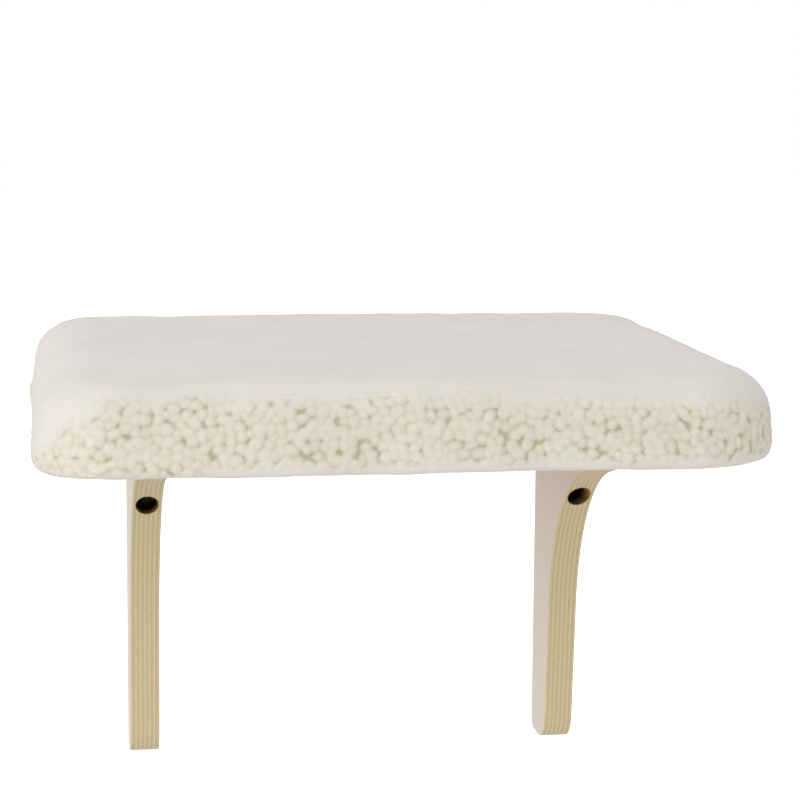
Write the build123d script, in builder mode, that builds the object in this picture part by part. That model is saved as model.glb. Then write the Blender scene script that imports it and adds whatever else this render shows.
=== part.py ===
from build123d import *

import math
import os

# A padded shelf for a cat, which rests on a window sill at the back and on two plywood brackets in front of it.
# X runs along the wall, -Y points into the room and Z is up, in millimetres.
# The origin is on the wall's plane, midway between the two wall screw holes.

# Seat board
board_width = 396.0
board_depth = 340.0
board_thickness = 12.0
board_corner = 42.0
board_edge_round = 1.5
sill_overlap = 48.8  # the seat reaches this far behind the wall's plane, over the sill

# Foam pad, which has the board's outline
foam_thickness = 32.5  # in the middle, where it is crowned
crown = 4.0  # how much lower the top would be at the corners than in the middle
foam_round = 21.0  # of its upper edge, which the cover pulls round

# Fleece cover
cover_clearance = 0.3  # between the cover and what it holds
fleece_side = 8.5  # at the middle of each side
fleece_top = 6.0
fleece_under = 2.5
cover_corner = 50.0
cover_draw_in = 2.0  # the sides pull in by this much between the corners
cover_round = 28.0  # of its upper edge
under_round = 7.0  # where the sides turn under the board

# Elastic hem around the opening under the seat
hem_gap = 5.5  # from the brackets' top edges to the casing, at the sides and the back
hem_front_gap = 50.5  # from the brackets' tips to the casing
casing_width = 10.0
casing_corner = 12.0
elastic_width = 6.6
elastic_thickness = 0.7
elastic_clearance = 0.2
seam_gap = 0.2  # between the casing and the fleece beside it

# Brackets, sawn from 13-ply board
bracket_thickness = 19.0
bracket_height = 234.4
bracket_inset = 59.3  # from the cover's side to the bracket's outer face
front_overhang = 103.8  # from the bracket's tip to the cover's front
leg_width = 39.7  # at the foot
leg_taper = 5.4  # degrees that the leg's front edge leans out
arm_tip = 16.6  # height of the arm at its tip
arm_taper = 14.0  # degrees that the arm's lower edge rises
curve_radius = 119.6  # of the hollow curve between leg and arm
tip_round = 8.0
foot_front_round = 20.0
foot_back_round = 8.0
sawn_edge_round = 0.8

# Wall screw holes, bored level from the curved edge to the wall
wall_screw_drop = 57.0  # from the bracket's top edge to the hole's axis
wall_screw_hole = 5.0
screw_recess = 14.3
screw_shoulder = 50.0  # wood left between the recess and the wall

# Wood screws that hold the board on the brackets
screw_length = 32.0
screw_diameter = 4.2
screw_root = 2.9
screw_head = 8.2
screw_shank = 10.5  # plain length under the head's top
thread_pitch = 1.9
screw_point = 4.0
screw_setback = 60.0  # from the wall and from the bracket's tip
screw_clearance = 0.2
pilot_hole = 3.0
recess_slot = 0.9
recess_span = 4.4
recess_depth = 1.8

# Sizes and places that follow from those above
seat_half_x = board_width / 2 + cover_clearance + fleece_side
seat_half_y = board_depth / 2 + cover_clearance + fleece_side
seat_y = sill_overlap - seat_half_y
board_bottom = wall_screw_drop
board_top = board_bottom + board_thickness
underside = board_bottom - fleece_under
seat_top = board_top + foam_thickness + fleece_top
crown_radius = (seat_half_x**2 + seat_half_y**2 + crown**2) / (2 * crown)
crown_centre = seat_top - crown_radius
bracket_x = seat_half_x - bracket_inset - bracket_thickness / 2
bracket_reach = 2 * seat_half_y - sill_overlap - front_overhang
bracket_foot = board_bottom - bracket_height
screw_depths = (screw_setback, bracket_reach - screw_setback)
opening_half_x = bracket_x + bracket_thickness / 2 + hem_gap
opening_half_y = (bracket_reach + hem_front_gap + hem_gap) / 2
opening_y = hem_gap - opening_half_y


def crowned(radius):
    """A ball so large that its top is the seat's gentle crown, centred far below the seat."""
    with BuildPart() as ball:
        with Locations((0, seat_y, crown_centre)):
            Sphere(radius, rotation=(90, 0, 0))
    return ball.part


def pad_form(bottom, grow):
    """The foam pad's form from bottom up, with every other face moved out by grow."""
    with BuildPart() as pad:
        with BuildSketch(Plane((0, seat_y, bottom))):
            RectangleRounded(board_width + 2 * grow, board_depth + 2 * grow, board_corner + grow)
        extrude(amount=seat_top - bottom)
        add(crowned(crown_radius - fleece_top + grow), mode=Mode.INTERSECT)
        fillet(pad.faces().sort_by(Axis.Z)[-1].edges(), radius=foam_round + grow)
    return pad.part


def hem_ring(height, grow_inside, grow_outside):
    """A level ring around the brackets' top edges, between two outlines that run parallel."""
    with BuildSketch(Plane((0, opening_y, height))) as ring:
        for grow, mode in ((grow_outside, Mode.ADD), (grow_inside, Mode.SUBTRACT)):
            RectangleRounded(
                2 * (opening_half_x + grow),
                2 * (opening_half_y + grow),
                casing_corner + grow,
                mode=mode,
            )
    return ring.sketch


def thread_profile():
    """Half outline of a wood screw in X and Z, with its head's top at zero and its point down."""
    root = screw_root / 2
    crest = screw_diameter / 2
    thread_end = screw_length - screw_point
    outline = [(0, 0), (screw_head / 2, 0), (crest, crest - screw_head / 2), (crest, -screw_shank)]
    turns = int((thread_end - screw_shank) / thread_pitch)
    for turn in range(turns):
        top = screw_shank + turn * thread_pitch
        outline.append((root, -top - 0.35 * thread_pitch))
        outline.append((root, -top - 0.65 * thread_pitch))
        outline.append((crest, -top - thread_pitch))
    outline.append((root, -thread_end))
    outline.append((0, -screw_length))
    return outline


os.makedirs("parts", exist_ok=True)

# The board, drilled and countersunk from above for the bracket screws
with BuildPart() as seat_board:
    with BuildSketch(Plane((0, seat_y, board_bottom))):
        RectangleRounded(board_width, board_depth, board_corner)
    extrude(amount=board_thickness)
    flat_faces = seat_board.faces().filter_by(Axis.Z)
    fillet(flat_faces.edges(), radius=board_edge_round)
    with Locations([(side * bracket_x, -depth, board_top) for side in (-1, 1) for depth in screw_depths]):
        CounterSinkHole(
            radius=screw_diameter / 2 + screw_clearance,
            counter_sink_radius=screw_head / 2 + screw_clearance,
            depth=board_thickness,
            counter_sink_angle=90,
        )
seat_board.part.label = "seat_board"
export_step(seat_board.part, "parts/seat_board.step")

# The foam pad, upright at the board's edge and crowned on top
with BuildPart() as foam_pad:
    add(pad_form(board_top, 0))
foam_pad.part.label = "foam_pad"
export_step(foam_pad.part, "parts/foam_pad.step")

# The fleece cover, one skin around foam and board, open under the seat where the brackets stand
corner_x = seat_half_x + cover_draw_in
corner_y = seat_half_y + cover_draw_in
with BuildPart() as fleece_cover:
    with BuildSketch(Plane((0, seat_y, underside))) as outline:
        with BuildLine():
            ThreePointArc((-corner_x, -corner_y), (0, -seat_half_y), (corner_x, -corner_y))
            ThreePointArc((corner_x, -corner_y), (seat_half_x, 0), (corner_x, corner_y))
            ThreePointArc((corner_x, corner_y), (0, seat_half_y), (-corner_x, corner_y))
            ThreePointArc((-corner_x, corner_y), (-seat_half_x, 0), (-corner_x, -corner_y))
        make_face()
        fillet(outline.vertices(), radius=cover_corner)
    extrude(amount=seat_top - underside + crown)
    add(crowned(crown_radius), mode=Mode.INTERSECT)
    fillet(fleece_cover.faces().sort_by(Axis.Z)[-1].edges(), radius=cover_round)
    fillet(fleece_cover.faces().sort_by(Axis.Z)[0].edges(), radius=under_round)
    add(pad_form(board_bottom, cover_clearance), mode=Mode.SUBTRACT)
    with BuildSketch(Plane((0, opening_y, underside))):
        RectangleRounded(
            2 * (opening_half_x + casing_width + seam_gap),
            2 * (opening_half_y + casing_width + seam_gap),
            casing_corner + casing_width + seam_gap,
        )
    extrude(amount=fleece_under, mode=Mode.SUBTRACT)
fleece_cover.part.label = "fleece_cover"
export_step(fleece_cover.part, "parts/fleece_cover.step")

# The hem's casing, a flat tube of binding tape sewn along the opening
elastic_level = underside + (fleece_under - elastic_thickness) / 2
elastic_inside = (casing_width - elastic_width) / 2
with BuildPart() as hem_casing:
    extrude(hem_ring(underside, 0, casing_width), amount=fleece_under)
    extrude(
        hem_ring(
            elastic_level - elastic_clearance,
            elastic_inside - elastic_clearance,
            elastic_inside + elastic_width + elastic_clearance,
        ),
        amount=elastic_thickness + 2 * elastic_clearance,
        mode=Mode.SUBTRACT,
    )
hem_casing.part.label = "hem_casing"
export_step(hem_casing.part, "parts/hem_casing.step")

# The elastic, one flat loop inside the casing
with BuildPart() as hem_elastic:
    extrude(
        hem_ring(elastic_level, elastic_inside, elastic_inside + elastic_width),
        amount=elastic_thickness,
    )
hem_elastic.part.label = "hem_elastic"
export_step(hem_elastic.part, "parts/hem_elastic.step")

# Where the leg's leaning front edge and the arm's rising lower edge would cross, before the curve rounds them
leg_lean = math.tan(math.radians(leg_taper))
arm_lean = math.tan(math.radians(arm_taper))
tip_low = board_bottom - arm_tip
crossing_depth = leg_width + leg_lean * (tip_low - bracket_foot - arm_lean * bracket_reach)
crossing_depth = crossing_depth / (1 - leg_lean * arm_lean)
crossing_height = tip_low - arm_lean * (bracket_reach - crossing_depth)

# The brackets and the screws that hold the board on them
for side, name in ((-1, "left"), (1, "right")):
    with BuildPart() as bracket:
        with BuildSketch(Plane.YZ.offset(side * bracket_x - bracket_thickness / 2)) as outline:
            with BuildLine():
                Polyline(
                    (0, board_bottom),
                    (-bracket_reach, board_bottom),
                    (-bracket_reach, tip_low),
                    (-crossing_depth, crossing_height),
                    (-leg_width, bracket_foot),
                    (0, bracket_foot),
                    close=True,
                )
            make_face()
            for corner, radius in (
                ((-crossing_depth, crossing_height), curve_radius),
                ((-bracket_reach, tip_low), tip_round),
                ((-leg_width, bracket_foot), foot_front_round),
                ((0, bracket_foot), foot_back_round),
            ):
                fillet(outline.vertices().sort_by_distance(corner)[0], radius=radius)
        extrude(amount=bracket_thickness)
        fillet(bracket.faces().filter_by(Axis.X).edges(), radius=sawn_edge_round)
        with Locations(Plane((side * bracket_x, -bracket_reach, 0), z_dir=(0, -1, 0))):
            CounterBoreHole(
                radius=wall_screw_hole / 2,
                counter_bore_radius=screw_recess / 2,
                counter_bore_depth=bracket_reach - screw_shoulder,
                depth=bracket_reach,
            )
        with Locations([(side * bracket_x, -depth, board_bottom) for depth in screw_depths]):
            Hole(radius=pilot_hole / 2, depth=screw_length - board_thickness + screw_clearance)
    bracket.part.label = f"bracket_{name}"
    export_step(bracket.part, f"parts/bracket_{name}.step")

    with BuildPart() as bracket_screws:
        for depth in screw_depths:
            place = Plane((side * bracket_x, -depth, board_top), x_dir=(1, 0, 0), z_dir=(0, -1, 0))
            with BuildSketch(place):
                with BuildLine():
                    Polyline(*thread_profile(), close=True)
                make_face()
            revolve(axis=Axis((side * bracket_x, -depth, board_top), (0, 0, 1)))
            with Locations((side * bracket_x, -depth, board_top)):
                for slot_size in ((recess_span, recess_slot), (recess_slot, recess_span)):
                    Box(*slot_size, 2 * recess_depth, mode=Mode.SUBTRACT)
    bracket_screws.part.label = f"bracket_screws_{name}"
    export_step(bracket_screws.part, f"parts/bracket_screws_{name}.step")
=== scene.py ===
"""Looks of a padded window perch for a cat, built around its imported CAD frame.

The seat is a board with a foam pad under a curly fleece cover, which an elastic hem holds from below. Its back edge
rests on a window sill and two plywood brackets, screwed to the wall, carry the rest. Sizes are in millimetres.
"""

import logging
import math
from dataclasses import dataclass, field
from enum import Enum

import bmesh
import bpy
import numpy as np
from mathutils import Matrix, Vector, kdtree, noise
from mathutils.bvhtree import BVHTree


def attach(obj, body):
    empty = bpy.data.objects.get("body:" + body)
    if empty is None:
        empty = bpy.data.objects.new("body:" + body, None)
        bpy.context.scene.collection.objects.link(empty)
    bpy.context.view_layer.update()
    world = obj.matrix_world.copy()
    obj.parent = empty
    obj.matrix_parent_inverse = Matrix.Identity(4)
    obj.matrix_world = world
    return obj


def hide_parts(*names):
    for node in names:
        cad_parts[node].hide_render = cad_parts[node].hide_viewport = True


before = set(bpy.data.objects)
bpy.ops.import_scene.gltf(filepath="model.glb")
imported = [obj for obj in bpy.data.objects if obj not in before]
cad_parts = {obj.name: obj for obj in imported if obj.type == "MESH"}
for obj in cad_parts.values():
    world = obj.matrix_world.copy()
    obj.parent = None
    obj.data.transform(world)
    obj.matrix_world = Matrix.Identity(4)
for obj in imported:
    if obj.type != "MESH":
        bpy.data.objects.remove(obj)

LOG = logging.getLogger("perch")
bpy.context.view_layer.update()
MM = 0.001
# Nearly all of a noise texture's values lie between these two.
NOISE_LOW, NOISE_HIGH = 0.3, 0.7


# ---- Nodes and colours ----


def linear(colour: str) -> tuple[float, float, float, float]:
    """Turns an sRGB hex colour into Blender's linear light.

    Args:
        colour: six hex digits after a hash sign.

    Returns:
        Red, green, blue and an alpha of one.
    """
    parts = [int(colour[i : i + 2], 16) / 255 for i in (1, 3, 5)]
    light = [p / 12.92 if p <= 0.04045 else ((p + 0.055) / 1.055) ** 2.4 for p in parts]
    return (*light, 1.0)


def add_node(tree: bpy.types.NodeTree, kind: str, inputs: dict | None = None, **settings: object) -> bpy.types.Node:
    """Adds one node with its settings and feeds its inputs.

    Args:
        tree: the node tree of a material or of the world.
        kind: Blender's type name of the node.
        inputs: socket name or number to a value, or to the output socket that feeds it.
        settings: the node's own properties.

    Returns:
        The new node.
    """
    node = tree.nodes.new(kind)
    for name, value in settings.items():
        setattr(node, name, value)
    for socket, value in (inputs or {}).items():
        if isinstance(value, bpy.types.NodeSocket):
            tree.links.new(value, node.inputs[socket])
        else:
            node.inputs[socket].default_value = value
    return node


def new_material(name: str) -> tuple[bpy.types.Material, bpy.types.NodeTree]:
    """Makes an empty node material.

    Args:
        name: what the real material is.

    Returns:
        The material and its node tree.
    """
    material = bpy.data.materials.new(name)
    material.use_nodes = True
    material.node_tree.nodes.clear()
    return material, material.node_tree


# ---- Meshes ----


def link_mesh(name: str, mesh: bpy.types.Mesh) -> bpy.types.Object:
    """Puts a finished mesh into the scene.

    Args:
        name: the piece's name.
        mesh: its mesh, in the row frame and in metres.

    Returns:
        The object, at the origin.
    """
    piece = bpy.data.objects.new(name, mesh)
    bpy.context.scene.collection.objects.link(piece)
    return piece


def mesh_from(form: bmesh.types.BMesh, name: str) -> bpy.types.Mesh:
    """Writes a bmesh into a new mesh and frees it.

    Args:
        form: the modelled shape.
        name: the mesh's name.

    Returns:
        The mesh.
    """
    mesh = bpy.data.meshes.new(name)
    form.to_mesh(mesh)
    form.free()
    return mesh


def applied(piece: bpy.types.Object) -> bpy.types.Mesh:
    """Works out a piece's modifiers and removes the piece.

    Args:
        piece: an object with live modifiers.

    Returns:
        The mesh that the modifiers make.
    """
    graph = bpy.context.evaluated_depsgraph_get()
    mesh = bpy.data.meshes.new_from_object(piece.evaluated_get(graph))
    bpy.data.objects.remove(piece)
    return mesh


def evened(mesh: bpy.types.Mesh, voxel: float) -> bpy.types.Mesh:
    """Gives a closed mesh small, nearly square faces of one size.

    Args:
        mesh: the plain shape.
        voxel: the faces' size.

    Returns:
        The even mesh.
    """
    piece = link_mesh("evened", mesh)
    remesh = piece.modifiers.new("even", "REMESH")
    remesh.mode = "VOXEL"
    remesh.voxel_size = voxel * MM
    return applied(piece)


def divided(mesh: bpy.types.Mesh, levels: int) -> bpy.types.Mesh:
    """Rounds a mesh off by subdivision.

    Args:
        mesh: the coarse mesh.
        levels: how often each face is cut in four.

    Returns:
        The fine mesh.
    """
    piece = link_mesh("divided", mesh)
    finer = piece.modifiers.new("finer", "SUBSURF")
    finer.levels = finer.render_levels = levels
    return applied(piece)


def points_of(mesh: bpy.types.Mesh) -> np.ndarray:
    """Reads a mesh's vertices.

    Args:
        mesh: the mesh.

    Returns:
        One row for each vertex, in millimetres.
    """
    flat = np.zeros(len(mesh.vertices) * 3, np.float32)
    mesh.vertices.foreach_get("co", flat)
    return flat.reshape(-1, 3).astype(float) / MM


def normals_of(mesh: bpy.types.Mesh) -> np.ndarray:
    """Reads the way each vertex faces.

    Args:
        mesh: the mesh.

    Returns:
        One unit row for each vertex.
    """
    flat = np.zeros(len(mesh.vertices) * 3, np.float32)
    mesh.vertex_normals.foreach_get("vector", flat)
    return flat.reshape(-1, 3).astype(float)


def place_points(mesh: bpy.types.Mesh, points: np.ndarray) -> None:
    """Moves a mesh's vertices.

    Args:
        mesh: the mesh.
        points: one row for each vertex.
    """
    mesh.vertices.foreach_set("co", (points * MM).astype(np.float32).ravel())
    mesh.update()


def paint(mesh: bpy.types.Mesh, name: str, values: np.ndarray) -> None:
    """Stores one number for each vertex, for a material to read.

    Args:
        mesh: the mesh.
        name: the attribute's name.
        values: one number for each vertex.
    """
    layer = mesh.attributes.new(name, "FLOAT", "POINT")
    layer.data.foreach_set("value", values.astype(np.float32))


def round_edges(form: bmesh.types.BMesh, edges: list, radius: float, segments: int) -> None:
    """Rounds some edges of a shape.

    Args:
        form: the shape.
        edges: the edges to round.
        radius: the round's radius.
        segments: how many strips the round gets.
    """
    bmesh.ops.bevel(form, geom=edges, offset=radius * MM, segments=segments, profile=0.5, material=-1, affect="EDGES")


def step(low: float, high: float, value: np.ndarray) -> np.ndarray:
    """Rises smoothly from 0 at low to 1 at high.

    Args:
        low: where the rise starts.
        high: where it ends, which may be below its start.
        value: numbers to read it at.

    Returns:
        A share from 0 to 1 for each number.
    """
    share = np.clip((value - low) / (high - low), 0, 1)
    return share * share * (3 - 2 * share)


def waves(points: np.ndarray, size: float, shift: float) -> np.ndarray:
    """Soft noise from -1 to 1.

    Args:
        points: places, one row each.
        size: the size of the noise's hills.
        shift: moves the pattern.

    Returns:
        One number for each place.
    """
    return np.array([noise.noise(place) for place in points / size + shift])


@dataclass(frozen=True)
class RoundedOutline:
    """A level rectangle with rounded corners."""

    half_x: float
    half_y: float
    middle_y: float
    corner: float

    def grown(self, by: float) -> "RoundedOutline":
        """Returns the parallel outline this far outside."""
        return RoundedOutline(self.half_x + by, self.half_y + by, self.middle_y, self.corner + by)

    def outside(self, x: float, y: float) -> float:
        """Measures how far outside the outline a point lies.

        Args:
            x: the point's X.
            y: its Y.

        Returns:
            The distance, below zero for a point inside.
        """
        out_x = abs(x) - self.half_x + self.corner
        out_y = abs(y - self.middle_y) - self.half_y + self.corner
        return math.hypot(max(out_x, 0), max(out_y, 0)) + min(max(out_x, out_y), 0) - self.corner

    def way_out(self, x: float, y: float) -> tuple[float, float]:
        """Finds the way straight out of the outline.

        Args:
            x: a point's X.
            y: its Y.

        Returns:
            The unit direction there in X and Y.
        """
        beside = 0.1
        slope_x = self.outside(x + beside, y) - self.outside(x - beside, y)
        slope_y = self.outside(x, y + beside) - self.outside(x, y - beside)
        steep = math.hypot(slope_x, slope_y) or 1.0
        return slope_x / steep, slope_y / steep

    def nearest(self, x: float, y: float) -> tuple[float, float]:
        """Finds the outline's point that is nearest to a point close to it.

        Args:
            x: the point's X.
            y: its Y.

        Returns:
            X and Y on the outline.
        """
        rounds = 4
        for _ in range(rounds):
            away = self.outside(x, y)
            out_x, out_y = self.way_out(x, y)
            x, y = x - away * out_x, y - away * out_y
        return x, y

    def sheet(self, form: bmesh.types.BMesh, level: float, segments: int) -> list[bmesh.types.BMFace]:
        """Lays the outline as one flat face.

        Args:
            form: the bmesh that it is added to.
            level: its height.
            segments: edges in each rounded corner.

        Returns:
            The new face in a list.
        """
        corners = bmesh.ops.create_grid(form, x_segments=1, y_segments=1, size=1.0)["verts"]
        bmesh.ops.scale(form, vec=Vector((self.half_x, self.half_y, 0)) * MM, verts=corners)
        bmesh.ops.translate(form, vec=Vector((0, self.middle_y, level)) * MM, verts=corners)
        bmesh.ops.bevel(
            form,
            geom=corners,
            offset=self.corner * MM,
            segments=segments,
            profile=0.5,
            material=-1,
            affect="VERTICES",
        )
        return form.faces[:]


# ---- Finishes ----


@dataclass(frozen=True)
class CurlyFleece:
    """Acrylic and polyester pile in tight curls on a knitted back, unbleached white.

    The curls give soft bulbs, with warm, shallow shade painted into the colour between them. Where the pile is pressed
    flat it is smoother, cooler and faintly brushed along the seat. Light that grazes the fibres makes the rims pale.
    """

    curl: str = "#DDDACB"
    warm_curl: str = "#DDD5C6"
    gap_shade: str = "#C2B89D"
    # Painted shade: the darker colour laid into the gaps between curls.
    pressed: str = "#E0DAD3"
    fibre_mm: float = 0.9
    cloud_mm: float = 45.0
    brush_mm: float = 2.2
    brush_run_mm: float = 45.0
    streak_shade: tuple[float, float] = (0.975, 1.02)
    cloud_shade: tuple[float, float] = (0.97, 1.02)

    def material(self) -> bpy.types.Material:
        """Builds the node material, which reads the cover's pile, nap and tone attributes.

        Returns:
            The material.
        """
        material, tree = new_material("curly pile fleece")
        place = add_node(tree, "ShaderNodeTexCoord").outputs["Object"]
        pile = add_node(tree, "ShaderNodeAttribute", attribute_name="pile").outputs["Fac"]
        nap = add_node(tree, "ShaderNodeAttribute", attribute_name="nap").outputs["Fac"]
        tone = add_node(tree, "ShaderNodeAttribute", attribute_name="tone").outputs["Fac"]
        bulb = add_node(
            tree, "ShaderNodeMix", {0: tone, 6: linear(self.curl), 7: linear(self.warm_curl)}, data_type="RGBA"
        ).outputs[2]
        # Painted shade: where the pile attribute is low, between the curls, the colour darkens.
        curls = add_node(tree, "ShaderNodeMix", {0: pile, 6: linear(self.gap_shade), 7: bulb}, data_type="RGBA").outputs[2]
        both = add_node(tree, "ShaderNodeMix", {0: nap, 6: curls, 7: linear(self.pressed)}, data_type="RGBA").outputs[2]
        brushed = (1 / (self.brush_run_mm * MM), 1 / (self.brush_mm * MM), 1 / (self.brush_mm * MM))
        brush_place = add_node(tree, "ShaderNodeMapping", {0: place, "Scale": brushed}).outputs[0]
        brush = add_node(
            tree, "ShaderNodeTexNoise", {"Vector": brush_place, "Scale": 1.0, "Detail": 2.0}
        ).outputs["Fac"]
        cloud = add_node(
            tree, "ShaderNodeTexNoise", {"Vector": place, "Scale": 1 / (self.cloud_mm * MM), "Detail": 2.0}
        ).outputs["Fac"]
        shades = []
        for pattern, (dark, light) in ((cloud, self.cloud_shade), (brush, self.streak_shade)):
            span = {"From Min": NOISE_LOW, "From Max": NOISE_HIGH, "To Min": dark, "To Max": light}
            shades.append(add_node(tree, "ShaderNodeMapRange", {"Value": pattern, **span}).outputs[0])
        shade = add_node(tree, "ShaderNodeMath", {0: shades[0], 1: shades[1]}, operation="MULTIPLY").outputs[0]
        colour = add_node(
            tree, "ShaderNodeMix", {0: 1.0, 6: both, 7: shade}, data_type="RGBA", blend_type="MULTIPLY"
        ).outputs[2]
        fibre = add_node(
            tree, "ShaderNodeTexNoise", {"Vector": place, "Scale": 1 / (self.fibre_mm * MM), "Detail": 3.0}
        ).outputs["Fac"]
        bump = add_node(tree, "ShaderNodeBump", {"Height": fibre, "Strength": 0.35, "Distance": 0.4 * MM}).outputs[0]
        skin = add_node(
            tree,
            "ShaderNodeBsdfPrincipled",
            {
                "Base Color": colour,
                "Roughness": 0.95,
                "Specular IOR Level": 0.15,
                "Sheen Weight": 0.2,
                "Sheen Roughness": 0.5,
                "Normal": bump,
            },
        )
        add_node(tree, "ShaderNodeOutputMaterial", {"Surface": skin.outputs[0]})
        return material


@dataclass(frozen=True)
class BirchPlywood:
    """Bare birch plywood of 13 plies, band-sawn, drilled and lightly sanded.

    Its sawn edges show fine stripes, straw-coloured, with long grain in every other ply and end grain between, and
    its faces one smooth, pale, slightly pink veneer. The recesses are painted dark, scorched wood and painted shade
    together: toast brown at the mouth and near black deeper in, but for the upper part of their floors. Where two
    places are given for a change of colour, it runs from the first to the second.
    """

    light_ply: str = "#D3C49E"
    dark_ply: str = "#C6B48B"
    veneer: str = "#E3D6CC"
    # Near black of the recesses: scorched wood and painted shade together.
    scorch_and_shade: str = "#3A2A1C"
    toast: str = "#B08A58"
    plies: float = 13.0
    thickness_mm: float = 19.0
    inner_mm: float = 128.5
    grain_mm: float = 0.7
    grain_run_mm: float = 35.0
    ply_blur: float = 0.04
    grain_shade: tuple[float, float] = (0.9, 1.06)
    face_from: float = 0.75
    face_full: float = 0.95
    recess_x_mm: float = 138.0
    recess_radius_mm: tuple[float, float] = (7.7, 7.2)
    recess_floor_mm: tuple[float, float] = (-50.6, -50.2)
    # Where the recess walls turn from toast brown to the near black of burn and painted shade.
    scorch_and_shade_y_mm: tuple[float, float] = (-76.0, -68.0)
    dark_ragged_mm: float = 14.0
    dark_speck_mm: float = 1.6
    # Above this height a recess floor shows bare ply, below it the near black of burn and painted shade.
    bare_ply_z_mm: tuple[float, float] = (-4.5, -2.0)

    def material(self) -> bpy.types.Material:
        """Builds the node material from Object coordinates and the way each face points.

        Returns:
            The material.
        """
        material, tree = new_material("birch plywood")
        place = add_node(tree, "ShaderNodeTexCoord").outputs["Object"]
        parts = add_node(tree, "ShaderNodeSeparateXYZ", {0: place})
        distance = add_node(tree, "ShaderNodeMath", {0: parts.outputs["X"]}, operation="ABSOLUTE").outputs[0]
        ply = add_node(
            tree,
            "ShaderNodeMapRange",
            {
                "Value": distance,
                "From Min": self.inner_mm * MM,
                "From Max": (self.inner_mm + self.thickness_mm) * MM,
                "To Min": 0.0,
                "To Max": self.plies,
            },
        ).outputs[0]
        half = add_node(tree, "ShaderNodeMath", {0: ply, 1: 0.5}, operation="MULTIPLY").outputs[0]
        turn = add_node(tree, "ShaderNodeMath", {0: half}, operation="FRACT").outputs[0]
        blur = {"From Min": 0.5 - self.ply_blur, "From Max": 0.5 + self.ply_blur}
        crossed = add_node(tree, "ShaderNodeMapRange", {"Value": turn, **blur}).outputs[0]
        along = (1 / (self.grain_mm * MM), 1 / (self.grain_mm * MM), 1 / (self.grain_run_mm * MM))
        across = (1 / (self.grain_mm * MM), 1 / (self.grain_run_mm * MM), 1 / (self.grain_mm * MM))
        grains = []
        for scale in (along, across):
            stretched = add_node(tree, "ShaderNodeMapping", {0: place, "Scale": scale}).outputs[0]
            lines = add_node(tree, "ShaderNodeTexNoise", {"Vector": stretched, "Scale": 1.0, "Detail": 4.0})
            grains.append(lines.outputs["Fac"])
        grain = add_node(tree, "ShaderNodeMix", {0: crossed, 2: grains[0], 3: grains[1]}, data_type="FLOAT").outputs[0]
        edge = add_node(
            tree, "ShaderNodeMix", {0: crossed, 6: linear(self.light_ply), 7: linear(self.dark_ply)}, data_type="RGBA"
        ).outputs[2]
        dark, light = self.grain_shade
        span = {"From Min": NOISE_LOW, "From Max": NOISE_HIGH, "To Min": dark, "To Max": light}
        shade = add_node(tree, "ShaderNodeMapRange", {"Value": grain, **span}).outputs[0]
        edge = add_node(
            tree, "ShaderNodeMix", {0: 1.0, 6: edge, 7: shade}, data_type="RGBA", blend_type="MULTIPLY"
        ).outputs[2]
        facing = add_node(tree, "ShaderNodeNewGeometry").outputs["Normal"]
        sideways = add_node(tree, "ShaderNodeSeparateXYZ", {0: facing}).outputs["X"]
        sideways = add_node(tree, "ShaderNodeMath", {0: sideways}, operation="ABSOLUTE").outputs[0]
        face = add_node(
            tree, "ShaderNodeMapRange", {"Value": sideways, "From Min": self.face_from, "From Max": self.face_full}
        ).outputs[0]
        colour = add_node(
            tree, "ShaderNodeMix", {0: face, 6: edge, 7: linear(self.veneer)}, data_type="RGBA"
        ).outputs[2]
        off_axis = add_node(
            tree, "ShaderNodeMath", {0: distance, 1: self.recess_x_mm * MM}, operation="SUBTRACT"
        ).outputs[0]
        from_axis = add_node(tree, "ShaderNodeCombineXYZ", {0: off_axis, 2: parts.outputs["Z"]}).outputs[0]
        radius = add_node(tree, "ShaderNodeVectorMath", {0: from_axis}, operation="LENGTH").outputs["Value"]
        specks = {"Vector": place, "Scale": 1 / (self.dark_speck_mm * MM), "Detail": 3.0}
        ragged = add_node(tree, "ShaderNodeTexNoise", specks).outputs["Fac"]
        ragged_m = self.dark_ragged_mm * MM
        uneven = add_node(
            tree, "ShaderNodeMath", {0: ragged, 1: ragged_m, 2: -ragged_m / 2}, operation="MULTIPLY_ADD"
        ).outputs[0]
        depth = add_node(tree, "ShaderNodeMath", {0: parts.outputs["Y"], 1: uneven}, operation="ADD").outputs[0]
        height = add_node(tree, "ShaderNodeMath", {0: parts.outputs["Z"], 1: uneven}, operation="ADD").outputs[0]
        changes = []
        for value, (start, stop) in (
            (radius, self.recess_radius_mm),
            (depth, self.scorch_and_shade_y_mm),
            (parts.outputs["Y"], self.recess_floor_mm),
            (height, self.bare_ply_z_mm),
        ):
            change = add_node(
                tree, "ShaderNodeMapRange", {"Value": value, "From Min": start * MM, "From Max": stop * MM}
            )
            changes.append(change.outputs[0])
        inside, scorch_and_shade_depth, at_floor, bare_ply = changes
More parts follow.
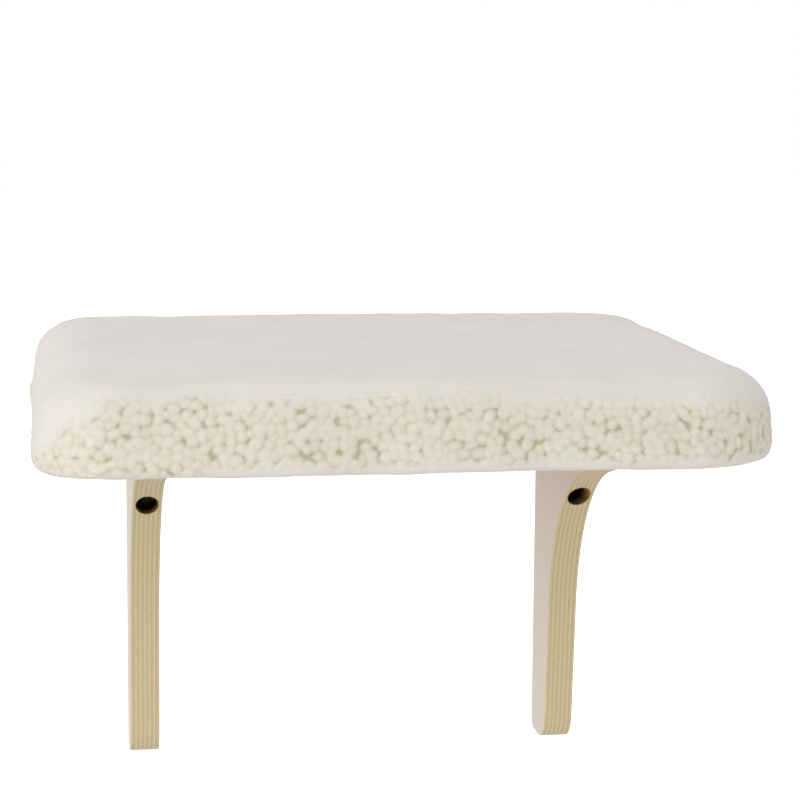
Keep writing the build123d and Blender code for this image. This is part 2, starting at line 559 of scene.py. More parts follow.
        # Painted burn and shade: the recess walls darken from toast brown at the mouth to near black deeper in, and
        # each floor is near black below its bare-ply upper part.
        wall = add_node(
            tree, "ShaderNodeMix", {0: scorch_and_shade_depth, 6: linear(self.toast), 7: linear(self.scorch_and_shade)}, data_type="RGBA"
        ).outputs[2]
        floor = add_node(
            tree, "ShaderNodeMix", {0: bare_ply, 6: linear(self.scorch_and_shade), 7: edge}, data_type="RGBA"
        ).outputs[2]
        recess = add_node(tree, "ShaderNodeMix", {0: at_floor, 6: wall, 7: floor}, data_type="RGBA").outputs[2]
        colour = add_node(tree, "ShaderNodeMix", {0: inside, 6: colour, 7: recess}, data_type="RGBA").outputs[2]
        bump = add_node(tree, "ShaderNodeBump", {"Height": grain, "Strength": 0.15, "Distance": 0.2 * MM}).outputs[0]
        wood = add_node(
            tree,
            "ShaderNodeBsdfPrincipled",
            {"Base Color": colour, "Roughness": 0.62, "Specular IOR Level": 0.35, "Normal": bump},
        )
        add_node(tree, "ShaderNodeOutputMaterial", {"Surface": wood.outputs[0]})
        return material


@dataclass(frozen=True)
class SeatFoam:
    """Open-cell polyurethane foam, cut from a block: cream, dull, with fine pores that are painted darker as shade."""

    skin: str = "#EFE6C8"
    pore_shade: str = "#CDBF94"
    cell_mm: float = 1.3

    def material(self) -> bpy.types.Material:
        """Builds the node material from Object coordinates.

        Returns:
            The material.
        """
        material, tree = new_material("cut polyurethane foam")
        place = add_node(tree, "ShaderNodeTexCoord").outputs["Object"]
        cells = add_node(tree, "ShaderNodeTexVoronoi", {"Vector": place, "Scale": 1 / (self.cell_mm * MM)}).outputs[0]
        # Painted shade: the pores, round the cells' middles, take the darker colour.
        colour = add_node(
            tree, "ShaderNodeMix", {0: cells, 6: linear(self.pore_shade), 7: linear(self.skin)}, data_type="RGBA"
        ).outputs[2]
        bump = add_node(tree, "ShaderNodeBump", {"Height": cells, "Strength": 0.5, "Distance": 0.4 * MM}).outputs[0]
        foam = add_node(
            tree,
            "ShaderNodeBsdfPrincipled",
            {"Base Color": colour, "Roughness": 0.95, "Specular IOR Level": 0.2, "Normal": bump},
        )
        add_node(tree, "ShaderNodeOutputMaterial", {"Surface": foam.outputs[0]})
        return material


@dataclass(frozen=True)
class WovenBand:
    """Polyester band, woven with ribs a fraction of a millimetre apart that catch the light in fine lines, with shade
    painted darker into the hollows between them.
    """

    name: str
    thread: str
    hollow_shade: str
    rib_mm: float
    roughness: float

    def material(self) -> bpy.types.Material:
        """Builds the node material from Object coordinates.

        Returns:
            The material.
        """
        material, tree = new_material(self.name)
        place = add_node(tree, "ShaderNodeTexCoord").outputs["Object"]
        parts = add_node(tree, "ShaderNodeSeparateXYZ", {0: place})
        ribs = []
        for axis in ("X", "Y"):
            pace = {0: parts.outputs[axis], 1: math.tau / (self.rib_mm * MM)}
            turn = add_node(tree, "ShaderNodeMath", pace, operation="MULTIPLY").outputs[0]
            ribs.append(add_node(tree, "ShaderNodeMath", {0: turn}, operation="SINE").outputs[0])
        weave = add_node(tree, "ShaderNodeMath", {0: ribs[0], 1: ribs[1]}, operation="MULTIPLY").outputs[0]
        weave = add_node(tree, "ShaderNodeMapRange", {"Value": weave, "From Min": -1.0, "From Max": 1.0}).outputs[0]
        # Painted shade: the hollows of the weave take the darker colour.
        colour = add_node(
            tree, "ShaderNodeMix", {0: weave, 6: linear(self.hollow_shade), 7: linear(self.thread)}, data_type="RGBA"
        ).outputs[2]
        bump = add_node(tree, "ShaderNodeBump", {"Height": weave, "Strength": 0.6, "Distance": 0.15 * MM}).outputs[0]
        band = add_node(
            tree, "ShaderNodeBsdfPrincipled", {"Base Color": colour, "Roughness": self.roughness, "Normal": bump}
        )
        add_node(tree, "ShaderNodeOutputMaterial", {"Surface": band.outputs[0]})
        return material


@dataclass(frozen=True)
class PressedBoard:
    """Wood chips pressed with resin and sanded: tan, mottled with flat chips a few millimetres long."""

    chip: str = "#D2B489"
    dark_chip: str = "#A9855A"
    chip_mm: float = 3.5

    def material(self) -> bpy.types.Material:
        """Builds the node material from Object coordinates.

        Returns:
            The material.
        """
        material, tree = new_material("sanded pressed board")
        place = add_node(tree, "ShaderNodeTexCoord").outputs["Object"]
        flat = (1 / (self.chip_mm * MM), 1 / (2 * self.chip_mm * MM), 4 / (self.chip_mm * MM))
        stretched = add_node(tree, "ShaderNodeMapping", {0: place, "Scale": flat}).outputs[0]
        chips = add_node(tree, "ShaderNodeTexVoronoi", {"Vector": stretched, "Scale": 1.0}).outputs["Color"]
        share = add_node(tree, "ShaderNodeSeparateXYZ", {0: chips}).outputs["X"]
        dust = add_node(tree, "ShaderNodeTexNoise", {"Vector": stretched, "Scale": 2.5, "Detail": 4.0}).outputs["Fac"]
        share = add_node(tree, "ShaderNodeMath", {0: share, 1: dust}, operation="MULTIPLY").outputs[0]
        colour = add_node(
            tree, "ShaderNodeMix", {0: share, 6: linear(self.chip), 7: linear(self.dark_chip)}, data_type="RGBA"
        ).outputs[2]
        bump = add_node(tree, "ShaderNodeBump", {"Height": dust, "Strength": 0.2, "Distance": 0.2 * MM}).outputs[0]
        board = add_node(
            tree, "ShaderNodeBsdfPrincipled", {"Base Color": colour, "Roughness": 0.7, "Normal": bump}
        )
        add_node(tree, "ShaderNodeOutputMaterial", {"Surface": board.outputs[0]})
        return material


@dataclass(frozen=True)
class ZincSteel:
    """Screw steel, rolled, then zinc-plated: bright grey with a faint cloudy change of gloss."""

    plating: str = "#C9CBC8"
    cloud_mm: float = 2.0

    def material(self) -> bpy.types.Material:
        """Builds the node material from Object coordinates.

        Returns:
            The material.
        """
        material, tree = new_material("zinc-plated steel")
        place = add_node(tree, "ShaderNodeTexCoord").outputs["Object"]
        cloud = add_node(
            tree, "ShaderNodeTexNoise", {"Vector": place, "Scale": 1 / (self.cloud_mm * MM), "Detail": 3.0}
        ).outputs["Fac"]
        gloss = add_node(tree, "ShaderNodeMapRange", {"Value": cloud, "To Min": 0.25, "To Max": 0.45}).outputs[0]
        steel = add_node(
            tree, "ShaderNodeBsdfPrincipled", {"Base Color": linear(self.plating), "Metallic": 1.0, "Roughness": gloss}
        )
        add_node(tree, "ShaderNodeOutputMaterial", {"Surface": steel.outputs[0]})
        return material


# ---- The seat ----


@dataclass(frozen=True)
class PadForm:
    """The block that the cover is pulled over, with its crowned top."""

    half_x: float = 198.0
    half_y: float = 170.0
    middle_y: float = -130.0
    corner: float = 42.0
    rim: float = 21.0
    top: float = 101.5
    crown: float = 2.5
    corner_segments: int = 12
    rim_segments: int = 8

    def drop(self, points: np.ndarray) -> np.ndarray:
        """Works out how much lower than its middle the crowned top is.

        Args:
            points: the places to work it out for, one row each.

        Returns:
            One number for each place.
        """
        x = points[:, 0] / self.half_x
        y = (points[:, 1] - self.middle_y) / self.half_y
        return self.crown * (x**2 + y**2) / 2

    def mesh(self, low: float, grow: float, voxel: float) -> bpy.types.Mesh:
        """Models the block.

        Args:
            low: the level of its underside.
            grow: how far its sides and top are moved out.
            voxel: the size of its faces.

        Returns:
            Its mesh.
        """
        form = bmesh.new()
        outline = RoundedOutline(self.half_x, self.half_y, self.middle_y, self.corner).grown(grow)
        base = outline.sheet(form, low, self.corner_segments)
        raised = bmesh.ops.extrude_face_region(form, geom=base)["geom"]
        top = [part for part in raised if isinstance(part, bmesh.types.BMVert)]
        bmesh.ops.translate(form, vec=(0, 0, (self.top + grow - low) * MM), verts=top)
        bmesh.ops.recalc_face_normals(form, faces=form.faces)
        rim = [edge for edge in form.edges if all(vertex in top for vertex in edge.verts)]
        round_edges(form, rim, self.rim + grow, self.rim_segments)
        mesh = evened(mesh_from(form, "pad_form"), voxel)
        points = points_of(mesh)
        points[:, 2] -= self.drop(points) * step(low, self.top - self.rim, points[:, 2])
        place_points(mesh, points)
        return mesh


@dataclass
class Curls:
    """Tight curls of pile: bulbs of many sizes, longer than wide, that press against each other."""

    spacing: float = 4.6
    warp: float = 1.0
    warp_size: float = 6.0
    seed: int = 7
    length_share: tuple[float, float] = (0.95, 1.5)
    width_share: tuple[float, float] = (0.85, 1.1)
    height_share: float = 0.15
    neighbours: int = 7
    crease: float = 16.0
    flat_percentiles: tuple[float, float] = (2, 85)

    def scatter(self, points: np.ndarray) -> np.ndarray:
        """Picks the bulbs' centres.

        Args:
            points: the vertices to pick from.

        Returns:
            The chosen rows, none nearer to another than the spacing.
        """
        order = np.random.default_rng(self.seed).permutation(len(points))
        cells = np.floor(points / self.spacing).astype(int)
        taken: dict[tuple[int, int, int], list[int]] = {}
        for row in order.tolist():
            i, j, k = cells[row].tolist()
            near = [
                other
                for a in (i - 1, i, i + 1)
                for b in (j - 1, j, j + 1)
                for c in (k - 1, k, k + 1)
                for other in taken.get((a, b, c), ())
            ]
            if not near or ((points[near] - points[row]) ** 2).sum(1).min() > self.spacing**2:
                taken.setdefault((i, j, k), []).append(row)
        return np.array([row for rows in taken.values() for row in rows])

    def relief(self, points: np.ndarray, facing: np.ndarray) -> tuple[np.ndarray, np.ndarray]:
        """Works out how high the pile stands.

        Args:
            points: the vertices.
            facing: the ways they face.

        Returns:
            For each vertex its height, 0 between bulbs and 1 on a bulb, and its bulb's tone from 0 to 1.
        """
        rows = self.scatter(points)
        centres, outward = points[rows], facing[rows]
        chance = np.random.default_rng(self.seed + 1)
        side = np.cross(outward, chance.normal(size=outward.shape))
        side /= np.linalg.norm(side, axis=1, keepdims=True)
        length = self.spacing * chance.uniform(*self.length_share, len(rows))
        width = self.spacing * chance.uniform(*self.width_share, len(rows))
        height = chance.uniform(-self.height_share, self.height_share, len(rows))
        tone = chance.uniform(0, 1, len(rows))
        tree = kdtree.KDTree(len(rows))
        for number, centre in enumerate(centres):
            tree.insert(centre, number)
        tree.balance()
        bent = points + self.warp * np.array([noise.noise_vector(place) for place in points / self.warp_size])
        near = np.array([[found[1] for found in tree.find_n(place, self.neighbours)] for place in bent])
        away = bent[:, None, :] - centres[near]
        run = (away * side[near]).sum(2)
        reach = np.sqrt((run / length[near]) ** 2 + ((away**2).sum(2) - run**2) / width[near] ** 2)
        bulbs = height[near] + 1 - reach**2
        best = bulbs.max(1)
        high = best + np.log(np.exp(self.crease * (bulbs - best[:, None])).sum(1)) / self.crease
        low_end, high_end = np.percentile(high, self.flat_percentiles)
        pile = np.sqrt(np.clip((high - low_end) / (high_end - low_end), 0, 1))
        return pile, tone[near[np.arange(len(near)), bulbs.argmax(1)]]


@dataclass
class FleeceCover:
    """One skin of curly fleece round foam and board, with a hemmed opening under the seat."""

    pad: PadForm
    opening: RoundedOutline
    finish: CurlyFleece
    half_x: float = 210.0
    half_y: float = 181.6
    underside: float = 53.6
    top: float = 107.5
    left_corner: float = 46.0
    right_corner: float = 57.0
    rim: float = 28.0
    lower_edge: float = 7.0
    draw_in: float = 2.0
    waist: float = 1.5
    right_spread: float = 2.5
    voxel: float = 5.0
    swell: float = 1.5
    pressure: float = 4.0
    last_frame: int = 20
    skin: float = 2.2
    relief: float = 1.7
    pile_middle: float = 0.55
    curl_places: tuple[float, ...] = (-200, -190, -173, -145, -120, 65, 94, 172, 195)
    curl_levels: tuple[float, ...] = (76, 83, 94, 97, 98, 96.5, 94, 93, 91)
    left_curl_level: float = 68.0
    right_curl_level: float = 86.0
    back_curl_level: float = 92.0
    curls: Curls = field(default_factory=Curls)

    def block(self) -> bpy.types.Mesh:
        """Models the plain rounded block that the cover's outside starts from.

        Returns:
            Its mesh in even faces.
        """
        form = bmesh.new()
        bmesh.ops.create_cube(form, size=1.0)
        height = self.top - self.underside
        bmesh.ops.scale(form, vec=Vector((2 * self.half_x, 2 * self.half_y, height)) * MM, verts=form.verts)
        centre = Vector((0, self.pad.middle_y, self.underside + height / 2)) * MM
        bmesh.ops.translate(form, vec=centre, verts=form.verts)
        for side, corner in ((-1, self.left_corner), (1, self.right_corner)):
            upright = [
                edge
                for edge in form.edges
                if abs(edge.verts[0].co.z - edge.verts[1].co.z) > 1 * MM and side * edge.verts[0].co.x > 0
            ]
            round_edges(form, upright, corner, 12)
        for level, radius, segments in (
            (max(vertex.co.z for vertex in form.verts), self.rim, 9),
            (min(vertex.co.z for vertex in form.verts), self.lower_edge, 4),
        ):
            edges = [edge for edge in form.edges if all(abs(v.co.z - level) < 0.1 * MM for v in edge.verts)]
            round_edges(form, edges, radius, segments)
        return evened(mesh_from(form, "fleece_block"), self.voxel)

    def swollen(self, mesh: bpy.types.Mesh) -> bpy.types.Mesh:
        """Lets the foam push the fleece out, as cloth under a little pressure.

        Args:
            mesh: the even block.

        Returns:
            The block, no point moved further than the swell.
        """
        start = points_of(mesh)
        piece = link_mesh("fleece_swell", mesh)
        held = piece.vertex_groups.new(name="held")
        held.add([int(row) for row in np.nonzero(start[:, 2] < self.underside + 2)[0]], 1.0, "REPLACE")
        cloth = piece.modifiers.new("cloth", "CLOTH").settings
        cloth.vertex_group_mass = "held"
        cloth.use_pressure = True
        cloth.uniform_pressure_force = self.pressure
        cloth.effector_weights.gravity = 0.0
        for number in range(1, self.last_frame + 1):
            bpy.context.scene.frame_set(number)
        swollen = applied(piece)
        bpy.context.scene.frame_set(1)
        moved = points_of(swollen) - start
        far = np.linalg.norm(moved, axis=1, keepdims=True)
        LOG.info("fleece swells by up to %.1f mm before the cap", far.max())
        place_points(swollen, start + moved * np.minimum(1, self.swell / np.maximum(far, 1e-6)))
        return swollen

    def settled(self, points: np.ndarray) -> np.ndarray:
        """Crowns the block, draws its sides in and lets its lower edge wander.

        Args:
            points: its vertices.

        Returns:
            The moved vertices.
        """
        moved = points.copy()
        x = moved[:, 0] / self.half_x
        y = (moved[:, 1] - self.pad.middle_y) / self.half_y
        up = (moved[:, 2] - self.underside) / (self.top - self.underside)
        middle = np.exp(-(((up - 0.5) / 0.22) ** 2)) * (1 + 0.6 * waves(moved, size=60.0, shift=4.4))
        moved[:, 2] -= self.pad.drop(moved) * step(0.3, 0.95, up)
        inward_y = self.draw_in * np.clip(1 - x**2, 0, 1) + self.waist * middle
        inward_x = self.draw_in * np.clip(1 - y**2, 0, 1) + self.waist * middle
        side = 0.8
        moved[:, 1] -= np.sign(y) * inward_y * step(side, 1.0, np.abs(y))
        moved[:, 0] -= np.sign(x) * inward_x * step(side, 1.0, np.abs(x))
        moved[:, 0] += self.right_spread * step(0.2, 1.0, x)
        moved[:, 2] += 0.8 * waves(moved, size=34.0, shift=3.1) * step(0.3, 0.0, up)
        return moved

    def opened(self, mesh: bpy.types.Mesh) -> bpy.types.Mesh:
        """Cuts the opening out of the underside.

        Args:
            mesh: the settled mesh.

        Returns:
            A mesh with a hole, whose edge lies on the hem's outline.
        """
        form = bmesh.new()
        form.from_mesh(mesh)
        inside = []
        for face in form.faces:
            middle = face.calc_center_median() / MM
            if middle.z < self.underside + 3 and self.opening.outside(middle.x, middle.y) < 0:
                inside.append(face)
        bmesh.ops.delete(form, geom=inside, context="FACES")
        for vertex in form.verts:
            if vertex.is_boundary:
                x, y = self.opening.nearest(vertex.co.x / MM, vertex.co.y / MM)
                vertex.co = Vector((x, y, self.underside)) * MM
        return mesh_from(form, "fleece_open")

    def lined(self, outside: bpy.types.Mesh, coarse: bpy.types.Mesh) -> bpy.types.Mesh:
        """Gives the cover its inner skin, which lies on foam and board.

        Args:
            outside: the finished outside, open at the hem.
            coarse: the same outside in large faces, which becomes the inner skin.

        Returns:
            One closed skin with a thickness.
        """
        pad = bmesh.new()
        pad.from_mesh(self.pad.mesh(self.underside + self.skin, grow=0.5, voxel=6.0))
        surface = BVHTree.FromBMesh(pad)
        pad.free()
        form = bmesh.new()
        form.from_mesh(outside)
        edge_outside = [edge for edge in form.edges if edge.is_boundary]
        old_vertices, old_faces = set(form.verts), set(form.faces)
        form.from_mesh(coarse)
        inner_vertices = [vertex for vertex in form.verts if vertex not in old_vertices]
        inner_faces = [face for face in form.faces if face not in old_faces]
        edge_inside = [edge for edge in form.edges if edge.is_boundary and edge not in set(edge_outside)]
        for vertex in inner_vertices:
            if vertex.is_boundary:
                vertex.co.z = (self.underside + self.skin) * MM
            else:
                vertex.co = surface.find_nearest(vertex.co)[0]
        bmesh.ops.reverse_faces(form, faces=inner_faces)
        bmesh.ops.bridge_loops(form, edges=edge_outside + edge_inside)
        return mesh_from(form, "curly_cover")

    def fine(self, mesh: bpy.types.Mesh) -> bpy.types.Mesh:
        """Divides the faces, and those that carry curls once more.

        Args:
            mesh: the open mesh in large faces.

        Returns:
            The fine mesh.
        """
        form = bmesh.new()
        form.from_mesh(divided(mesh, levels=1))
        form.normal_update()
        lowest = (self.underside - 1) * MM
        steepest, flattest = -0.97, 0.93
        edges = {
            edge
            for face in form.faces
            if steepest < face.normal.z < flattest and face.calc_center_median().z > lowest
            for edge in face.edges
        }
        bmesh.ops.subdivide_edges(form, edges=list(edges), cuts=2, use_grid_fill=True, smooth=1.0)
        return mesh_from(form, "fleece_fine")

    def standing(self, points: np.ndarray, facing: np.ndarray) -> np.ndarray:
        """Works out where the pile stands in curls rather than lying pressed.

        Args:
            points: the fine vertices.
            facing: the ways they face.

        Returns:
            A share for each vertex, 1 where the curls are full.
        """
        x, z = points[:, 0], points[:, 2]
        front = np.interp(x, self.curl_places, self.curl_levels)
        around = np.where(x < 0, self.left_curl_level, self.right_curl_level)
        toward = step(0.25, 0.75, -facing[:, 1])
        behind = step(0.4, 0.8, facing[:, 1])
        level = front * toward + (1 - toward) * ((1 - behind) * around + behind * self.back_curl_level)
        wander = 3.5 * waves(points, size=22.0, shift=8.2) + 1.6 * waves(points, size=7.0, shift=1.2)
        upper = step(level + 6, level - 9, z + wander)
        pressed_foot = step(-125, -95, x + 10 * waves(points, size=15.0, shift=2.0))
        foot = 1 - 0.75 * pressed_foot * step(62.5, 58.0, z + 0.8 * wander)
        under = step(-0.95, -0.4, facing[:, 2])
        return upper * foot * (0.15 + 0.85 * under)

    def build(self) -> bpy.types.Object:
        """Builds the whole cover and dresses it.

        Returns:
            The cover.
        """
        mesh = self.block()
        mesh = self.swollen(mesh)
        place_points(mesh, self.settled(points_of(mesh)))
        coarse = self.opened(mesh)
        mesh = self.fine(coarse.copy())
        points, facing = points_of(mesh), normals_of(mesh)
        stand = self.standing(points, facing)
        pile = np.ones(len(points))
        tone = np.full(len(points), 0.5)
        least = 0.01
        rows = np.nonzero(stand > least)[0]
        pile[rows], tone[rows] = self.curls.relief(points[rows], facing[rows])
        lift = stand * self.relief * (pile - self.pile_middle)
        lift[rows] += (0.05 + 0.16 * stand[rows]) * waves(points[rows], size=1.7, shift=2.2)
        lift += 0.5 * waves(points, size=24.0, shift=6.5)
        place_points(mesh, points + facing * lift[:, None])
        # The pile attribute paints shade into the gaps between curls, faint where the pile lies pressed.
        paint(mesh, "pile", 1 - (1 - pile) * (0.2 + 0.8 * stand))
        paint(mesh, "nap", 1 - stand)
        paint(mesh, "tone", tone)
        mesh = self.lined(mesh, coarse)
        mesh.shade_smooth()
        mesh.materials.append(self.finish.material())
        piece = link_mesh("curly_cover", mesh)
        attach(piece, "root")
        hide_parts("fleece_cover")
        LOG.info("curly_cover: %d vertices, %d curled", len(mesh.vertices), len(rows))
        return piece


@dataclass
class FoamPad:
    """The foam between board and cover."""

    pad: PadForm
    finish: SeatFoam
    low: float = 69.0

    def build(self) -> bpy.types.Object:
        """Builds the pad and dresses it.

        Returns:
            The pad.
        """
        mesh = divided(self.pad.mesh(self.low, grow=-0.2, voxel=7.0), levels=1)
        points = points_of(mesh)
        points[:, 2] = np.maximum(points[:, 2], self.low)
        place_points(mesh, points)
        mesh.shade_smooth()
        mesh.materials.append(self.finish.material())
        piece = link_mesh("foam_block", mesh)
        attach(piece, "root")
        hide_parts("foam_pad")
        LOG.info("foam_block: %d vertices", len(mesh.vertices))
        return piece


@dataclass
class ElasticHem:
    """The casing of folded tape around the opening, gathered by the elastic that runs inside it."""

    opening: RoundedOutline
    tape: WovenBand
    elastic: WovenBand
    thread: WovenBand
    low: float = 54.5
    high: float = 57.0
    width: float = 10.0
    elastic_inset: float = 1.7
    elastic_thickness: float = 0.7
    slack: float = 0.25
    pucker: float = 0.22
    pucker_run: float = 6.5
    pucker_sway: float = 2.5
    pucker_sink: float = 0.6
    tape_round: float = 0.5
    band_round: float = 0.2
    side_cuts: int = 150
    row_inset: float = 1.0
    stitch_proud: float = 0.2
    stitch: float = 2.6
    stitch_gap: float = 0.9
    stitch_thick: float = 0.28

    def ring(self, inset: float, low: float, high: float, soften: float) -> bmesh.types.BMesh:
        """Models a flat closed ring that follows the opening.

        Args:
            inset: how far its edges lie inside the casing's edges.
            low: level of its underside.
            high: level of its top.
            soften: radius of its edges.

        Returns:
            The ring as a bmesh.
        """
        form = bmesh.new()
        self.opening.grown(self.width - inset).sheet(form, low, segments=8)
        sides = [edge for edge in form.edges if edge.calc_length() > 2 * self.width * MM]
        bmesh.ops.subdivide_edges(form, edges=sides, cuts=self.side_cuts)
        rim = bmesh.ops.inset_region(
            form,
            faces=form.faces[:],
            thickness=(self.width - 2 * inset) * MM,
            use_boundary=True,
            use_even_offset=True,
        )["faces"]
        inside = [face for face in form.faces if face not in set(rim)]
        bmesh.ops.delete(form, geom=inside, context="FACES")
        raised = bmesh.ops.extrude_face_region(form, geom=form.faces[:])["geom"]
        top = [part for part in raised if isinstance(part, bmesh.types.BMVert)]
        bmesh.ops.translate(form, vec=(0, 0, (high - low) * MM), verts=top)
        bmesh.ops.recalc_face_normals(form, faces=form.faces)
        sharp = [edge for edge in form.edges if edge.is_manifold and edge.calc_face_angle() > math.radians(70)]
        round_edges(form, sharp, soften, segments=2)
        return form

    def puckered(self, mesh: bpy.types.Mesh) -> None:
        """Lets the casing's underside rise and fall in small gathers across its width.

        Args:
            mesh: the casing's mesh, which is changed.
        """
        points = points_of(mesh)
        bent = points + self.pucker_sway * waves(points, size=20.0, shift=5.5)[:, None]
        out = np.array([self.opening.grown(self.width / 2).way_out(x, y) for x, y, _ in points])
        run_x = np.sin(math.tau * bent[:, 0] / self.pucker_run)
        run_y = np.sin(math.tau * bent[:, 1] / self.pucker_run)
        lower = step((self.low + self.high) / 2, self.low, points[:, 2])
        gathers = run_x * out[:, 1] ** 2 + run_y * out[:, 0] ** 2
        points[:, 2] += self.pucker * lower * (gathers - self.pucker_sink)
        place_points(mesh, points)

    def stitches(self) -> bpy.types.Mesh:
        """Sews two rows of stitches along the casing.

        Returns:
            One mesh of all the stitches.
        """
        form = bmesh.new()
        pitch = self.stitch + self.stitch_gap
        size = Matrix.Diagonal((self.stitch / 2 * MM, self.stitch_thick * MM, self.stitch_thick * MM, 1))
        for inset in (self.row_inset, self.width - self.row_inset):
            line = self.opening.grown(self.width - inset)
            straights = line.half_x + line.half_y - 2 * line.corner
            length = 4 * straights + math.tau * line.corner
            count = int(length / pitch)
            for number in range(count):
                x, y, angle = self.along(line, number * length / count)
                middle = Vector((x, y, self.low - self.stitch_proud)) * MM
                place = Matrix.Translation(middle) @ Matrix.Rotation(angle, 4, "Z")
                bmesh.ops.create_icosphere(form, subdivisions=1, radius=1.0, matrix=place @ size)
        return mesh_from(form, "hem_stitches")

    @staticmethod
    def along(line: RoundedOutline, run: float) -> tuple[float, float, float]:
        """Finds a place on a rounded outline.

        Args:
            line: the outline.
            run: how far along it, anticlockwise from the front edge's left end.

        Returns:
            X, Y and the angle of the outline there.
        """
        straight_x, straight_y = line.half_x - line.corner, line.half_y - line.corner
        arc = math.pi / 2 * line.corner
        turn = 0.0
        for side, half in enumerate((straight_x, straight_y, straight_x, straight_y)):
            flip = 1 if side < 2 else -1
            if run <= 2 * half:
                ahead = (run - half) * flip
                x, y = (ahead, -line.half_y * flip) if side % 2 == 0 else (line.half_x * flip, ahead)
                return x, y + line.middle_y, turn
            run -= 2 * half
            centre = ((1, -1), (1, 1), (-1, 1), (-1, -1))[side]
            if run <= arc:
                angle = turn + run / line.corner
                x = centre[0] * straight_x + line.corner * math.sin(angle)
                y = centre[1] * straight_y - line.corner * math.cos(angle)
                return x, y + line.middle_y, angle
            run -= arc
            turn += math.pi / 2
        return -straight_x, -line.half_y + line.middle_y, 0.0

    def build(self) -> list[bpy.types.Object]:
        """Builds casing, elastic and stitches and dresses them.

        Returns:
            The three pieces.
        """
        middle = (self.low + self.high) / 2
        half = self.elastic_thickness / 2
        tape = mesh_from(self.ring(0.0, self.low, self.high, self.tape_round), "hem_tape")
        self.puckered(tape)
        room = half + self.slack
        channel = self.ring(self.elastic_inset - self.slack, middle - room, middle + room, self.band_round)
        bmesh.ops.reverse_faces(channel, faces=channel.faces)
        casing = bmesh.new()
        casing.from_mesh(tape)
        casing.from_mesh(mesh_from(channel, "hem_channel"))
        elastic = self.ring(self.elastic_inset, middle - half, middle + half, self.band_round)
        pieces = []
        for name, mesh, finish, node, slot in (
            ("hem_tape", mesh_from(casing, "hem_tape"), self.tape, "hem_casing", "tape"),
            ("hem_band", mesh_from(elastic, "hem_band"), self.elastic, "hem_elastic", "elastic"),
            ("hem_stitches", self.stitches(), self.thread, None, "tape"),
        ):
            mesh.shade_smooth()
            mesh.materials.append(finish.material())
            piece = link_mesh(name, mesh)
            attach(piece, "root")
            if node:
                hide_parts(node)
            LOG.info("%s: %d vertices", name, len(mesh.vertices))
            pieces.append(piece)
        return pieces


# ---- The CAD parts' finishes ----


class Side(Enum):
    """The perch's two sides, as the CAD names them."""

    LEFT = "left"
    RIGHT = "right"


@dataclass
class WoodAndSteel:
    """The board, the two brackets and their screws, which keep their CAD shapes."""

    board: PressedBoard
    plywood: BirchPlywood
    steel: ZincSteel

    def build(self) -> None:
        """Gives each CAD part its finish."""
        plywood, steel = self.plywood.material(), self.steel.material()
        finishes = {"seat_board": self.board.material()}
        for side in Side:
            finishes[f"bracket_{side.value}"] = plywood
            finishes[f"bracket_screws_{side.value}"] = steel
        for name, material in finishes.items():
            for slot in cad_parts[name].material_slots:
                slot.material = material
            LOG.info("%s: %s", name, material.name)


# ---- The studio ----


@dataclass(frozen=True)
class SoftLamp:
    """A square lamp that faces the perch."""

    name: str
    place_m: tuple[float, float, float]
    side_m: float
    watts: float

    def hang(self, aim_m: tuple[float, float, float]) -> None:
        """Puts the lamp into the scene.

        Args:
            aim_m: the point that it faces.
        """
        data = bpy.data.lights.new(self.name, "AREA")
        data.shape = "SQUARE"
        data.size = self.side_m
        data.energy = self.watts
        lamp = bpy.data.objects.new(self.name, data)
        lamp.location = self.place_m
        lamp.rotation_mode = "QUATERNION"
        lamp.rotation_quaternion = (Vector(aim_m) - Vector(self.place_m)).to_track_quat("-Z", "Y")
        bpy.context.scene.collection.objects.link(lamp)


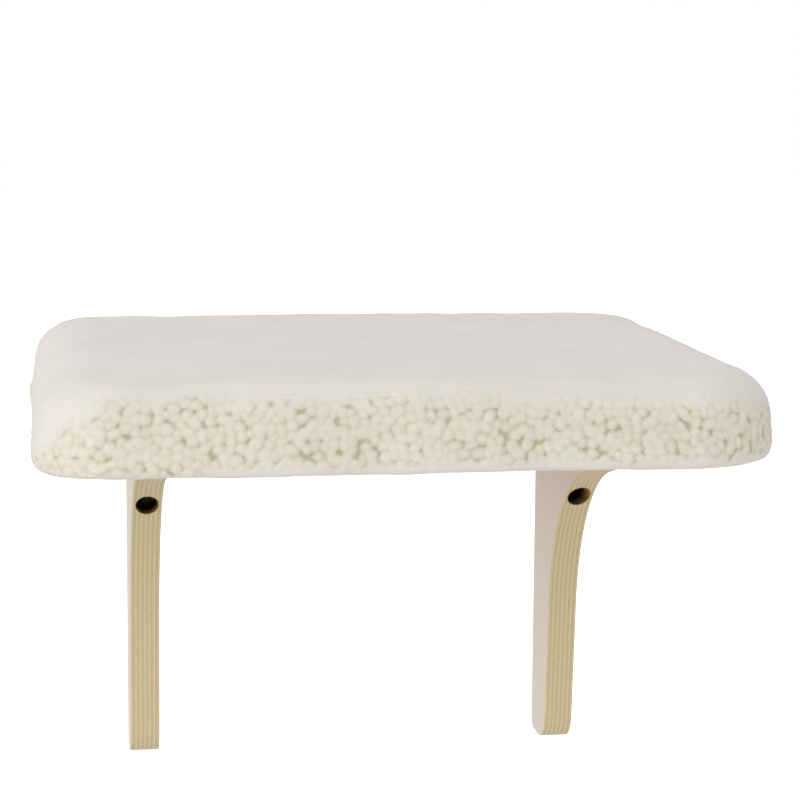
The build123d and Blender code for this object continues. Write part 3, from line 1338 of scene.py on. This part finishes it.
@dataclass
class Studio:
    """The camera, the lamps and the pale floor round the perch."""

    camera_mm: tuple[float, float, float] = (-207.7, -1573.8, 279.9)
    turned: float = 8.782
    tipped: float = 8.191
    rolled: float = 0.433
    lens: float = 108.12
    floor_mm: float = -1500.0
    floor_half_m: float = 30.0
    floor_paint: str = "#F4F4F4"
    ambient: float = 0.78
    aim_m: tuple[float, float, float] = (0.0, -0.15, 0.0)
    lamps: tuple[SoftLamp, ...] = (
        SoftLamp("key", (-0.75, -2.3, 0.75), 1.3, 12.5),
        SoftLamp("side", (-2.0, -0.9, 0.5), 1.4, 9.0),
    )

    def add_camera(self) -> None:
        """Sets the camera where the photograph was taken from."""
        turn, tip, roll = (math.radians(a) for a in (self.turned, self.tipped, self.rolled))
        level = Vector((math.cos(turn), -math.sin(turn), 0))
        ahead = Vector((math.sin(turn) * math.cos(tip), math.cos(turn) * math.cos(tip), -math.sin(tip)))
        rise = level.cross(ahead)
        right = math.cos(roll) * level + math.sin(roll) * rise
        up = math.cos(roll) * rise - math.sin(roll) * level
        camera = bpy.data.objects.new("camera", bpy.data.cameras.new("camera"))
        camera.data.lens = self.lens
        camera.data.sensor_width = 36.0
        camera.data.clip_end = 100.0
        facing = Matrix((right, up, -ahead)).transposed().to_4x4()
        camera.matrix_world = Matrix.Translation(Vector(self.camera_mm) * MM) @ facing
        bpy.context.scene.collection.objects.link(camera)
        bpy.context.scene.camera = camera

    def add_world(self) -> None:
        """Lights everything softly from all round, and shows white behind the perch."""
        world = bpy.data.worlds.new("studio")
        bpy.context.scene.world = world
        world.use_nodes = True
        tree = world.node_tree
        tree.nodes.clear()
        path = add_node(tree, "ShaderNodeLightPath")
        seen = path.outputs["Is Camera Ray"]
        for ray in ("Is Glossy Ray", "Is Transmission Ray"):
            seen = add_node(tree, "ShaderNodeMath", {0: seen, 1: path.outputs[ray]}, operation="MAXIMUM").outputs[0]
        strength = add_node(
            tree, "ShaderNodeMapRange", {"Value": seen, "To Min": self.ambient, "To Max": 1.0}
        ).outputs[0]
        sky = add_node(tree, "ShaderNodeBackground", {"Color": (1.0, 1.0, 1.0, 1.0), "Strength": strength})
        add_node(tree, "ShaderNodeOutputWorld", {"Surface": sky.outputs[0]})

    def add_floor(self) -> None:
        """Lays a pale floor far below the perch, which the camera sees as plain white."""
        form = bmesh.new()
        bmesh.ops.create_grid(form, x_segments=1, y_segments=1, size=self.floor_half_m)
        bmesh.ops.translate(form, vec=(0, 0, self.floor_mm * MM), verts=form.verts)
        mesh = mesh_from(form, "floor")
        material, tree = new_material("pale floor paint")
        path = add_node(tree, "ShaderNodeLightPath")
        matt = add_node(tree, "ShaderNodeBsdfDiffuse", {"Color": linear(self.floor_paint)}).outputs[0]
        glow = add_node(
            tree, "ShaderNodeEmission", {"Color": (1, 1, 1, 1), "Strength": path.outputs["Is Camera Ray"]}
        ).outputs[0]
        both = add_node(tree, "ShaderNodeAddShader", {0: matt, 1: glow})
        add_node(tree, "ShaderNodeOutputMaterial", {"Surface": both.outputs[0]})
        mesh.materials.append(material)
        floor = link_mesh("floor", mesh)

    def build(self) -> None:
        """Sets up camera, light and floor."""
        self.add_camera()
        self.add_world()
        for lamp in self.lamps:
            lamp.hang(self.aim_m)
        self.add_floor()
        bpy.context.scene.view_settings.view_transform = "Standard"


def main() -> None:
    """Builds the studio, the cover and the finishes of the CAD parts."""
    logging.basicConfig(level=logging.INFO)
    Studio().build()
    pad = PadForm()
    opening = RoundedOutline(half_x=153.0, half_y=130.5, middle_y=-125.0, corner=12.0)
    casing_to_fleece = 10.2
    FleeceCover(pad, opening.grown(casing_to_fleece), CurlyFleece()).build()
    FoamPad(pad, SeatFoam()).build()
    # Each band's second colour is shade painted into the hollows of its weave.
    tape = WovenBand("woven polyester tape", "#E6E0D2", "#B9B09B", rib_mm=0.9, roughness=0.8)
    elastic = WovenBand("braided elastic", "#F0EEE8", "#CFCBC0", rib_mm=1.2, roughness=0.7)
    thread = WovenBand("sewing thread", "#E9E4D8", "#C8BFAA", rib_mm=0.5, roughness=0.6)
    ElasticHem(opening, tape, elastic, thread).build()
    WoodAndSteel(PressedBoard(), BirchPlywood(), ZincSteel()).build()


if __name__ == "__main__":
    main()
